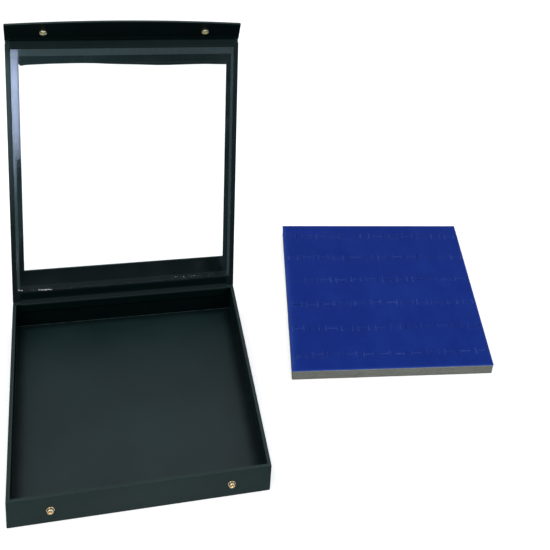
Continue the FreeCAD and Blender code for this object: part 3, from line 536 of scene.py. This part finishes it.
def build_pad_face():
    around = (-1.9, -1.4, -0.95, -0.6, -0.28, 0.0, 0.28, 0.6, 0.95, 1.4, 1.9)
    xs, ys = [], []
    for i in range(COLS):
        cx = (i - (COLS - 1) / 2) * PITCH_X
        for side in (-1, 1):
            xs += [cx + side * SLOT_W / 2 + o for o in around]
    for j in range(ROWS):
        cy = (j - (ROWS - 1) / 2) * PITCH_Y
        ys += [cy + o for o in around]
        for side in (-1, 1):
            ys += [cy + side * SLOT_H / 2 + o for o in (-0.5, 0.0, 0.5)]
    hw, hd = PAD_W / 2, PAD_D / 2
    rim = (0.0, 0.08, 0.25, 0.5, 0.85, 1.3, 2.0, 3.0)
    xs += [s * (hw - r) for r in rim for s in (-1, 1)]
    ys += [s * (hd - r) for r in rim for s in (-1, 1)]
    X = fill_lines(xs, -hw, hw, 1.7)
    Y = fill_lines(ys, -hd, hd, 1.7)
    nx, ny = len(X), len(Y)
    U, V = np.meshgrid(X, Y)
    edge = np.minimum(hw - np.abs(U), hd - np.abs(V))
    z = np.full(U.shape, PAD_Z3)
    # rolled edge
    rad = 1.0
    e = np.clip(rad - edge, 0, rad)
    z -= rad - np.sqrt(np.clip(rad * rad - e * e, 0, None))
    # each die-cut slot opens by its own amount
    groove = np.zeros_like(z)
    lip = np.zeros_like(z)
    du = np.zeros_like(z)
    dv = np.zeros_like(z)
    for j in range(ROWS):
        for i in range(COLS):
            cx = (i - (COLS - 1) / 2) * PITCH_X
            cy = (j - (ROWS - 1) / 2) * PITCH_Y
            near = (np.abs(U - cx) < 14) & (np.abs(V - cy) < 15)
            if not near.any():
                continue
            u, v = U[near] - cx, V[near] - cy
            opens = np.clip(rng.normal(0.34, 0.34, 3), 0.0, 1.0)       # left stroke, bar, right stroke
            catch = np.clip(rng.normal(0.45, 0.38, 3), 0.08, 1.0)      # how far each lip stands up
            turned_up = rng.choice((-1.0, 1.0), 3, p=(0.3, 0.7))
            seed = rng.uniform(0, 90)
            depth = np.zeros_like(u)
            raised = np.zeros_like(u)
            for cut, amount, lift, way in zip(("left", "bar", "right"), opens, catch, turned_up):
                if cut == "bar":
                    s_d, along = v, u
                    end = SLOT_W / 2 - np.abs(u)
                else:
                    s_d, along = u - (-SLOT_W / 2 if cut == "left" else SLOT_W / 2), v
                    end = SLOT_H / 2 - np.abs(v)
                    way = way if cut == "left" else -way
                d = np.abs(s_d)
                run = np.clip(end / 1.2 + 0.4, 0, 1)
                broken = np.array([0.62 + 0.75 * n3(t, seed, 2.0, 0.23) for t in along.ravel()]).reshape(along.shape)
                broken = np.clip(broken, 0.1, 1.0)
                width = 0.34 + 0.62 * amount * broken
                depth = np.maximum(depth, np.clip(1.15 - d / width, 0, 1) * (0.30 + 0.80 * amount) * run)
                one_side = np.where(s_d * way > 0, 1.0, 0.25)
                raised = np.maximum(raised, np.exp(-(((d - width - 0.30) / 0.50) ** 2)) * (0.15 + 0.85 * lift) * run * broken * one_side)
            groove[near] = np.maximum(groove[near], depth)
            lip[near] = np.maximum(lip[near], raised)
            a = math.radians(rng.normal(0, 1.6))
            ox, oy = rng.normal(0, 0.45), rng.normal(0, 0.7) + 0.9 * math.sin(0.8 * i + 1.7 * j)
            fall = np.clip(1 - np.maximum(np.abs(u) / 13.5, np.abs(v) / 14.5), 0, 1)
            fall = np.clip(fall * 2.4, 0, 1)
            fall = fall * fall * (3 - 2 * fall)
            du[near] += fall * (ox - v * math.sin(a))
            dv[near] += fall * (oy + u * math.sin(a))
            # the foam gives a little between the strokes, so a slot sits in a shallow dimple
            z[near] -= 0.16 * fall * np.exp(-((u / 8.5) ** 2 + (v / 6.0) ** 2))
    z -= np.minimum(groove, 1.02)
    z += 0.16 * lip * (1 - np.clip(groove * 3, 0, 1))
    inside = np.clip(edge / 6.0, 0, 1)
    wav = np.array([[n3(a, b, 1.3, 0.018) * 0.26 + n3(a, b, 5.3, 0.06) * 0.08 for a in X] for b in Y])
    z += wav * inside - 0.12 * (1 - inside)
    z = np.minimum(z, PAD_Z3 + 0.25)
    verts, gap_shade_a, lip_highlight_a, rim_highlight_a = [], [], [], []
    for b in range(ny):
        for a in range(nx):
            u, v = U[b, a] + du[b, a], V[b, a] + dv[b, a]
            off = outline(u, v, hw, hd) * (1 - min(1.0, edge[b, a] / 5.0))
            u -= math.copysign(1, U[b, a]) * max(0.0, off) * (hw - abs(U[b, a]) < 5.0)
            v -= math.copysign(1, V[b, a]) * max(0.0, off) * (hd - abs(V[b, a]) < 5.0)
            verts.append(pad_point(u, v, z[b, a]))
            gap_shade_a.append(min(1.0, groove[b, a] * 1.25))
            lip_highlight_a.append(lip[b, a])
            # painted highlight mask: strongest at the rim, with a wider band down the left side
            from_left = hw + U[b, a]
            rim_highlight_a.append(max(math.exp(-edge[b, a] / 0.9), 0.5 * math.exp(-((from_left / 5.5) ** 2)) * (0.8 + 0.5 * n3(U[b, a], V[b, a], 2.0, 0.03))))
    faces = []
    for b in range(ny - 1):
        for a in range(nx - 1):
            i = b * nx + a
            faces.append((i, i + 1, i + nx + 1, i + nx))
    border = [a for a in range(nx)] + [b * nx + nx - 1 for b in range(1, ny)] + [(ny - 1) * nx + a for a in range(nx - 2, -1, -1)] + [b * nx for b in range(ny - 2, 0, -1)]
    base = len(verts)
    for i in border:
        x, y, _ = verts[i]
        verts.append((x, y, PAD_Z2 * MM))
        gap_shade_a.append(0.15)
        lip_highlight_a.append(0.0)
        rim_highlight_a.append(0.8)
    n = len(border)
    for k in range(n):
        faces.append((border[k], border[(k + 1) % n], base + (k + 1) % n, base + k))
    faces.append(tuple(base + k for k in range(n)))
    ob = mesh_object("flocked_pad_face", verts, faces, M["blue_flock"])
    for nm, vals in (("gap", gap_shade_a), ("lip", lip_highlight_a), ("rim", rim_highlight_a)):
        at = ob.data.attributes.new(nm, "FLOAT", "POINT")
        at.data.foreach_set("value", np.array(vals, np.float32)[: len(ob.data.vertices)])
    return ob


def build_pad_foam():
    hw, hd, r = PAD_W / 2 - 0.25, PAD_D / 2 - 0.25, 1.6
    path = []
    step = 1.5

    def straight(x0, y0, x1, y1, nx, ny):
        n = int(math.hypot(x1 - x0, y1 - y0) / step)
        for k in range(n):
            t = k / n
            path.append((x0 + (x1 - x0) * t, y0 + (y1 - y0) * t, nx, ny))

    def corner(cx, cy, a0):
        for k in range(4):
            a = a0 + math.pi / 2 * k / 4
            path.append((cx + r * math.cos(a), cy + r * math.sin(a), math.cos(a), math.sin(a)))

    straight(-hw + r, -hd, hw - r, -hd, 0, -1)
    corner(hw - r, -hd + r, -math.pi / 2)
    straight(hw, -hd + r, hw, hd - r, 1, 0)
    corner(hw - r, hd - r, 0)
    straight(hw - r, hd, -hw + r, hd, 0, 1)
    corner(-hw + r, hd - r, math.pi / 2)
    straight(-hw, hd - r, -hw, -hd + r, -1, 0)
    corner(-hw + r, -hd + r, math.pi)
    levels = [0.0, 0.05, 0.13, 0.25, 0.38, 0.50, 0.62, 0.74, 0.86, 0.95, 1.0]
    secs = []
    for t in levels:
        zz = PAD_Z0 + (PAD_Z1 - PAD_Z0) * t
        pull = 0.55 * math.sin(math.pi * min(1.0, t * 1.02)) + 0.55 * (1 - t) ** 2 + (0.45 if t in (0.0,) else 0.0)
        ring = []
        for x, y, nx, ny in path:
            rough = 0.16 * n3(x, y, zz * 0.35, 0.11) + 0.10 * n3(x, y, zz * 0.9, 0.45)
            wave = 0.22 * n3(x * 0.018, y * 0.018, 9.0 + zz * 0.02)
            d = pull - rough - wave
            d = max(0.0, d)
            ring.append(pad_point(x - nx * d, y - ny * d, zz))
        secs.append(ring)
    return swept("foam_pad_body", secs, M["grey_foam"])


pad_face = build_pad_face()
pad_body = build_pad_foam()
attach(pad_face, "pad")
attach(pad_body, "pad")
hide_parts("pad_face")
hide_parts("pad_foam")


# ---------------------------------------------------------------- cloth strips that really bend
def strip(name, path, half, width_n, material, thick, ripple=0.0, fray=0.0, scale=0.05):
    """A cloth strip of even thickness along X. path holds (point, outward direction) pairs in the Y-Z plane, in millimetres."""
    xs = np.linspace(-half, half, width_n)
    secs = []
    for x in xs:
        front, back = [], []
        last = len(path) - 1
        for i, ((y, z), (ny, nz)) in enumerate(path):
            ease = math.sin(math.pi * i / last)
            lift = ripple * ease * n3(x * scale, i * 0.21, 2.0)
            e = fray * n3(x * 0.16, 4.0 + (0 if i < last / 2 else 9.0)) if i in (0, last) else 0.0
            ty, tz = (path[min(i + 1, last)][0][0] - path[max(i - 1, 0)][0][0], path[min(i + 1, last)][0][1] - path[max(i - 1, 0)][0][1])
            tl = math.hypot(ty, tz) or 1.0
            yy, zz = y + e * ty / tl + (lift) * ny, z + e * tz / tl + (lift) * nz
            front.append((x * MM, (yy + ny * thick / 2) * MM, (zz + nz * thick / 2) * MM))
            back.append((x * MM, (yy - ny * thick / 2) * MM, (zz - nz * thick / 2) * MM))
        secs.append(front + back[::-1])
    return swept(name, secs, material)


def hinge_path():
    pts = []
    for z in (26.6, 29.0, 32.0, 35.0, 38.0, 39.6):
        pts.append(((186.02, z), (-1.0, 0.0)))
    for k in range(1, 6):
        a = math.radians(180 - 90 * k / 6)
        pts.append(((187.0 + 0.98 * math.cos(a) , 40.16 + 0.98 * math.sin(a)), (math.cos(a), math.sin(a))))
    for y in (187.0, 188.0, 189.0, 189.8, 190.2, 190.45):
        pts.append(((y, 41.16), (0.0, 1.0)))
    c, s = 0.17365, 0.98481                      # up the open lid
    for t in (0.10, 0.2, 0.3, 0.4, 0.5, 0.7, 1.0, 2.0, 4.0, 7.0, 10.0, 12.0, 14.2):
        turn = min(1.0, t / 0.5)
        ang = math.radians(90 + 80 * turn)
        pts.append(((190.6 + t * c, 41.3 + t * s), (math.cos(ang), math.sin(ang))))
    return pts


hinge_strip = strip("hinge_cloth_strip", hinge_path(), 142.2, 150, M["hinge_cloth"], 0.26, ripple=0.0, fray=0.35)
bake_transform(hinge_strip)
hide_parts("hinge_cloth_tray", "hinge_cloth_lid")


def lid_yz(up, out):
    p = lid_point(0, up, out)
    return (p[1] / MM, p[2] / MM)


def spine_path():
    """Leatherette carried from the rear wall over the hinge line on to the outside of the lid."""
    pts = [((190.68, z), (1.0, 0.0)) for z in (34.6, 36.0, 37.5, 39.0, 40.2, 40.9)]
    pts.append(((190.70, 41.18), (0.94, -0.34)))
    out_dir = (math.sin(LID_ANGLE), math.cos(LID_ANGLE))
    up_dir = (-math.cos(LID_ANGLE), math.sin(LID_ANGLE))
    for out in (0.35, 0.8, 1.3, 1.8, 2.3, 2.75):
        pts.append((lid_yz(-0.17, out), (-up_dir[0], -up_dir[1])))
    for k in range(1, 6):
        a = math.radians(90 * k / 6)
        n = (-up_dir[0] * math.cos(a) + out_dir[0] * math.sin(a), -up_dir[1] * math.cos(a) + out_dir[1] * math.sin(a))
        c = lid_yz(0.93, 2.78)
        pts.append(((c[0] + 1.1 * n[0], c[1] + 1.1 * n[1]), n))
    for up in (1.0, 2.0, 3.2, 4.6, 6.0):
        pts.append((lid_yz(up, 3.88), out_dir))
    return pts


spine = strip("hinge_spine", spine_path(), 152.3, 150, M["leatherette"], 0.24, ripple=0.0, fray=0.20)
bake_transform(spine)


def flap_yz(out, down):
    p = flap_point(0, out, down)
    return (p[1] / MM, p[2] / MM)


def smooth_path(points, count):
    """Catmull-Rom through the points, with side directions to the left of travel."""
    pts = [np.array(p, float) for p in points]
    pts = [2 * pts[0] - pts[1]] + pts + [2 * pts[-1] - pts[-2]]
    out = []
    for i in range(1, len(pts) - 2):
        for k in range(count):
            t = k / count
            a, b, c, d = pts[i - 1], pts[i], pts[i + 1], pts[i + 2]
            out.append(0.5 * ((2 * b) + (c - a) * t + (2 * a - 5 * b + 4 * c - d) * t * t + (3 * b - a - 3 * c + d) * t ** 3))
    out.append(pts[-2])
    res = []
    for i, p in enumerate(out):
        t = out[min(i + 1, len(out) - 1)] - out[max(i - 1, 0)]
        t = t / (np.linalg.norm(t) or 1)
        res.append(((p[0], p[1]), (-t[1], t[0])))
    return res


inner_fold = smooth_path([lid_yz(376.4, 0.03), lid_yz(378.4, 0.03), lid_yz(380.6, 0.02), lid_yz(382.4, -0.10), lid_yz(384.4, -0.28), flap_yz(-0.20, 1.2), flap_yz(-0.08, 3.0), flap_yz(-0.06, 5.5)], 5)
outer_fold = smooth_path([lid_yz(378.6, 3.88), lid_yz(380.4, 3.88), lid_yz(382.4, 3.86), lid_yz(384.6, 3.66), lid_yz(386.6, 3.30), flap_yz(3.26, 0.9), flap_yz(3.28, 2.2), flap_yz(3.28, 3.8)], 5)
fold_in = strip("flap_fold_lining", inner_fold, 148.5, 140, M["lid_lining"], 0.28, ripple=0.10, fray=0.25)
fold_in.data.materials.append(M["deep_shade_lining"])
# the flap half of the fold takes the painted shaded copy of the lining
for poly in fold_in.data.polygons:
    if poly.center.z > 0.4212:
        poly.material_index = 1
fold_out = strip("flap_fold_cover", outer_fold, 152.3, 140, M["leatherette"], 0.30, ripple=0.12, fray=0.15)
for piece in (fold_in, fold_out):
    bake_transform(piece)
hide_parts("flap_fold_strip")


# ---------------------------------------------------------------- turned edge of the lining round the window
def window_lip():
    x1, y0, y1 = 136.5, 48.0, 353.6
    marks = ((-136.5, 349.4), (-133.0, 350.6), (-128.7, 351.7), (-113.8, 352.3), (-98.7, 352.9), (-68.4, 353.3), (-53.1, 353.2), (-37.7, 352.7),
             (-22.2, 351.6), (-6.6, 350.9), (9.2, 350.3), (25.0, 349.6), (41.0, 348.8), (57.1, 348.6), (73.3, 348.9),
             (89.6, 349.2), (106.1, 349.3), (122.7, 348.7), (136.5, 348.4))
    pts = []
    n = 90
    for k in range(n):
        pts.append((-x1 + 2 * x1 * k / n, y0, 0, 1, "bottom"))
    for k in range(n):
        pts.append((x1, y0 + (y1 - y0) * k / n, -1, 0, "right"))
    for k in range(n):
        pts.append((x1 - 2 * x1 * k / n, y1, 0, -1, "top"))
    for k in range(n):
        pts.append((-x1, y1 - (y1 - y0) * k / n, 1, 0, "left"))
    secs = []
    for x, up, dx, dy, side in pts:
        if side == "top":
            w = y1 - float(np.interp(x, [a for a, _ in marks], [b for _, b in marks]))
        else:
            w = 0.34 + 0.16 * n3(x, up, 4.0, 0.025)
            if side in ("left", "right") and up > y1 - 2.0:
                w = 0.34
        ring = []
        for off, out in ((0.0, 0.28), (w * 0.7, 0.25), (w, 0.36), (w * 1.02, 0.52), (w * 0.8, 0.66), (0.0, 0.70)):
            ring.append(lid_point(x + dx * off, up + dy * off, out))
        secs.append(ring)
    return swept("window_turned_edge", secs, M["lid_lining"], closed_path=True)


lip = window_lip()
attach(lip, "lid")


# ---------------------------------------------------------------- dried glue squeezed out along the foot of the pane
def glue_beads():
    """Crumbs of dried glue caught under the foot of the pane and a smear to the right."""
    bm = bmesh.new()
    spots = []
    for a, b, n, big in ((-144.0, -139.5, 6, 0.62), (-121.5, -101.0, 26, 0.66), (-138.0, -123.0, 3, 0.2), (-95.0, 20.0, 10, 0.2), (62.0, 96.0, 14, 0.34), (100.0, 143.0, 6, 0.2)):
        for _ in range(n):
            x = rng.uniform(a, b)
            if x < -95.0:
                up = 17.4 + (-96.0 - x) * 0.06 + rng.normal(0, 0.4)
            elif x < 60.0:
                up = 17.6 + rng.normal(0, 0.5)
            else:
                up = 21.4 + rng.normal(0, 0.45)
            spots.append((x, up, big * rng.uniform(0.45, 1.0)))
    for x, up, r in spots:
        m = bmesh.ops.create_icosphere(bm, subdivisions=2, radius=1.0)
        stretch = rng.uniform(1.0, 2.6)
        seed = rng.uniform(0, 50)
        for v in m["verts"]:
            c = v.co
            k = 1 + 0.35 * noise.noise(Vector((c.x * 1.7 + seed, c.y * 1.7, c.z * 1.7)))
            # flattened between the glass and the lid
            v.co = Vector(lid_point(x + c.x * r * stretch * k, up + c.y * r * 0.85 * k, -2.35 + max(-0.45, min(0.45, c.z * r * 0.6 * k))))
    me = bpy.data.meshes.new("dried_glue_beads")
    bm.to_mesh(me)
    bm.free()
    me.materials.append(M["glue_specks"])
    me.polygons.foreach_set("use_smooth", [True] * len(me.polygons))
    ob = bpy.data.objects.new("dried_glue_beads", me)
    bpy.context.scene.collection.objects.link(ob)
    return ob


beads = glue_beads()
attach(beads, "lid")


# ---------------------------------------------------------------- floor, light, camera
def build_floor():
    """Pale paper floor: soft shadow under the case, running out to plain white far away; mirror rays see a painted
    reflection instead, a dark glow with a pale streak out in front.
    """
    m, nt = new_material("floor_paper")
    p = coords(nt)
    tone = remap(nt, noise_tex(nt, p, 3.0, 3.0), 0.3, 0.7, 0.0, 1.0)
    col = mix_col(nt, tone, (0.86, 0.86, 0.865), (0.88, 0.88, 0.88))
    flat = node(nt, "ShaderNodeVectorMath", {0: p, 1: (1.0, 1.0, 0.0)}, operation="MULTIPLY").outputs[0]
    away = node(nt, "ShaderNodeVectorMath", {0: flat}, operation="LENGTH").outputs["Value"]
    diff = node(nt, "ShaderNodeBsdfDiffuse", {"Color": col})
    glow = node(nt, "ShaderNodeEmission", {"Color": (1.0, 1.0, 1.0, 1.0), "Strength": 0.42})
    near = node(nt, "ShaderNodeAddShader", {0: diff.outputs[0], 1: glow.outputs[0]})
    white = node(nt, "ShaderNodeEmission", {"Color": (1.0, 1.0, 1.0, 1.0), "Strength": 1.05})
    shown = node(nt, "ShaderNodeMixShader", {0: remap(nt, away, 0.8, 2.2, 0.0, 1.0), 1: near.outputs[0], 2: white.outputs[0]})
    # painted reflection: away from the case mirror rays see a dark teal glow instead of the floor, with a pale bluish
    # streak along a line out in front
    sep = node(nt, "ShaderNodeSeparateXYZ", {"Vector": p})
    side, front = sep.outputs[0], sep.outputs[1]
    seam = math_node(nt, "SUBTRACT", side, math_node(nt, "MULTIPLY_ADD", front, 0.030, -0.1581))
    over = math_node(nt, "SUBTRACT", seam, remap(nt, front, -1.19, -1.155, 0.016, 0.0050))
    trail = math_node(nt, "MULTIPLY", math_node(nt, "MULTIPLY", remap(nt, seam, -0.018, -0.010, 0.0, 1.0), remap(nt, over, 0.0, 0.003, 1.0, 0.0)), math_node(nt, "POWER", remap(nt, front, -1.30, -0.62, 1.0, 0.0), 1.15))
    dim = node(nt, "ShaderNodeEmission", {"Color": mix_col(nt, remap(nt, side, -0.25, 0.35, 0.0, 1.0), (0.13, 0.25, 0.28), (0.03, 0.05, 0.06)), "Strength": 1.0})
    streak = node(nt, "ShaderNodeEmission", {"Color": (0.72, 0.84, 1.15, 1.0), "Strength": math_node(nt, "MULTIPLY", trail, 3.2)})
    dim = node(nt, "ShaderNodeAddShader", {0: dim.outputs[0], 1: streak.outputs[0]})
    dark = math_node(nt, "MAXIMUM", remap(nt, away, 0.20, 0.34, 0.0, 1.0), remap(nt, side, 0.150, 0.166, 0.0, 1.0))
    mirrored = node(nt, "ShaderNodeMixShader", {0: dark, 1: diff.outputs[0], 2: dim.outputs[0]})
    ray = node(nt, "ShaderNodeLightPath")
    base = node(nt, "ShaderNodeMixShader", {0: ray.outputs["Is Glossy Ray"], 1: diff.outputs[0], 2: mirrored.outputs[0]})
    mixed = node(nt, "ShaderNodeMixShader", {0: ray.outputs["Is Camera Ray"], 1: base.outputs[0], 2: shown.outputs[0]})
    out = node(nt, "ShaderNodeOutputMaterial")
    nt.links.new(mixed.outputs[0], out.inputs["Surface"])
    m.cycles.emission_sampling = "NONE"
    bm = bmesh.new()
    bmesh.ops.create_grid(bm, x_segments=8, y_segments=8, size=14.0)
    me = bpy.data.meshes.new("studio_floor")
    bm.to_mesh(me)
    bm.free()
    me.materials.append(m)
    ob = bpy.data.objects.new("studio_floor", me)
    ob.location = (0, 0, -0.0002)
    bpy.context.scene.collection.objects.link(ob)
    return ob


def build_card():
    """A glowing card out in front that only mirror reflections see, graded into a painted reflection: it shows in the
    pane's left margin.
    """
    m, nt = new_material("reflection_glow_card")
    p = coords(nt)
    sep = node(nt, "ShaderNodeSeparateXYZ", {"Vector": p})
    z = sep.outputs[2]
    rise = math_node(nt, "MULTIPLY", remap(nt, z, 0.0, 0.05, 0.62, 1.0), remap(nt, z, 0.05, 0.14, 0.72, 1.0))
    rise = math_node(nt, "MULTIPLY", rise, remap(nt, z, 0.19, 0.26, 1.0, 0.40))
    across = math_node(nt, "ABSOLUTE", math_node(nt, "ADD", sep.outputs[0], 0.1905))
    rise = math_node(nt, "MULTIPLY", rise, remap(nt, across, 0.0, 0.011, 1.12, 0.72))
    glow = node(nt, "ShaderNodeEmission", {"Color": (0.72, 0.84, 1.15, 1.0), "Strength": math_node(nt, "MULTIPLY", rise, 8.6)})
    out = node(nt, "ShaderNodeOutputMaterial")
    nt.links.new(glow.outputs[0], out.inputs["Surface"])
    m.cycles.emission_sampling = "NONE"
    bm = bmesh.new()
    cols = [-0.215, -0.205, -0.194, -0.1836]
    rows = [0.0, 0.06, 0.12, 0.18, 0.24, 0.30]
    grid = [[bm.verts.new((x, -1.30, h)) for x in cols] for h in rows]
    for a, b in zip(grid, grid[1:]):
        for i in range(len(cols) - 1):
            bm.faces.new((a[i], a[i + 1], b[i + 1], b[i]))
    me = bpy.data.meshes.new("reflection_glow_card")
    bm.to_mesh(me)
    bm.free()
    me.materials.append(m)
    ob = bpy.data.objects.new("reflection_glow_card", me)
    bpy.context.scene.collection.objects.link(ob)
    ob.visible_camera = False
    ob.visible_diffuse = False
    ob.visible_shadow = False
    ob.visible_transmission = False
    return ob


build_card()
build_floor()


def build_world():
    w = bpy.data.worlds.new("studio")
    bpy.context.scene.world = w
    w.use_nodes = True
    nt = w.node_tree
    nt.nodes.clear()
    d = node(nt, "ShaderNodeTexCoord").outputs["Generated"]
    z = node(nt, "ShaderNodeSeparateXYZ", {"Vector": d}).outputs[2]
    up = remap(nt, z, 0.0, 0.9, 0.0, 1.0)
    sky = mix_col(nt, up, (0.60, 0.61, 0.63), (0.46, 0.47, 0.50))
    light = node(nt, "ShaderNodeBackground", {"Color": sky, "Strength": 1.0})
    white = node(nt, "ShaderNodeBackground", {"Color": (1.0, 1.0, 1.0, 1.0), "Strength": 1.05})
    seen = node(nt, "ShaderNodeLightPath").outputs["Is Camera Ray"]
    mixed = node(nt, "ShaderNodeMixShader", {0: seen, 1: light.outputs[0], 2: white.outputs[0]})
    out = node(nt, "ShaderNodeOutputWorld")
    nt.links.new(mixed.outputs[0], out.inputs["Surface"])


build_world()


def area(name, loc, target, size, watts, color=(1, 1, 1), glossy=True):
    d = bpy.data.lights.new(name, "AREA")
    d.shape = "RECTANGLE"
    d.size, d.size_y = size
    d.energy = watts
    d.color = color
    o = bpy.data.objects.new(name, d)
    o.location = loc
    o.rotation_euler = (Vector(target) - Vector(loc)).to_track_quat("-Z", "Y").to_euler()
    o.visible_glossy = glossy
    o.visible_camera = False
    bpy.context.scene.collection.objects.link(o)
    return o


area("key", (-1.3, -1.5, 2.4), (0.15, 0.1, 0.1), (1.6, 1.6), 34.0, (1.0, 0.985, 0.965))
area("fill", (1.9, -1.2, 1.9), (0.2, 0.1, 0.1), (1.8, 1.8), 20.0, (0.97, 0.985, 1.0))
area("top", (0.2, 0.9, 2.8), (0.2, 0.1, 0.0), (2.2, 1.6), 16.0, (1.0, 1.0, 1.0))


def build_camera():
    cam = bpy.data.cameras.new("main_camera")
    cam.sensor_fit = "HORIZONTAL"
    cam.sensor_width = 36.0
    cam.lens = 1208.21 / 550.0 * 36.0
    cam.clip_start, cam.clip_end = 0.02, 60.0
    ob = bpy.data.objects.new("main_camera", cam)
    right = Vector((0.9263524, -0.3442704, 0.1528046))
    down = Vector((-0.0182194, -0.4461661, -0.8947647))
    ahead = Vector((0.3762172, 0.8260834, -0.4195794))
    m = Matrix.Identity(4)
    for k, col in enumerate((right, -down, -ahead)):
        for r in range(3):
            m[r][k] = col[r]
    m.translation = Vector((-0.08486, -1.340012, 1.174968))
    ob.matrix_world = m
    bpy.context.scene.collection.objects.link(ob)
    bpy.context.scene.camera = ob
    # the lens is shifted only while the camera stands at its main place, so that the other views stay centred
    x0 = m.translation.x
    for prop, value in (("shift_x", -0.5006), ("shift_y", -0.3748)):
        fc = cam.driver_add(prop)
        drv = fc.driver
        drv.type = "AVERAGE"
        var = drv.variables.new()
        var.name = "x"
        var.type = "TRANSFORMS"
        t = var.targets[0]
        t.id = ob
        t.transform_type = "LOC_X"
        t.transform_space = "WORLD_SPACE"
        for mod in list(fc.modifiers):
            fc.modifiers.remove(mod)
        fc.keyframe_points.add(4)
        for kp, (a, b) in zip(fc.keyframe_points, ((x0 - 0.06, 0.0), (x0 - 0.03, value), (x0 + 0.03, value), (x0 + 0.06, 0.0))):
            kp.co = (a, b)
            kp.interpolation = "LINEAR"
        fc.extrapolation = "CONSTANT"
        fc.update()
    return ob


build_camera()
sc = bpy.context.scene
sc.view_settings.view_transform = "Standard"
sc.view_settings.look = "None"
sc.view_settings.exposure = 0.0
sc.view_settings.gamma = 1.0
sc.cycles.max_bounces = 8
sc.cycles.transparent_max_bounces = 16
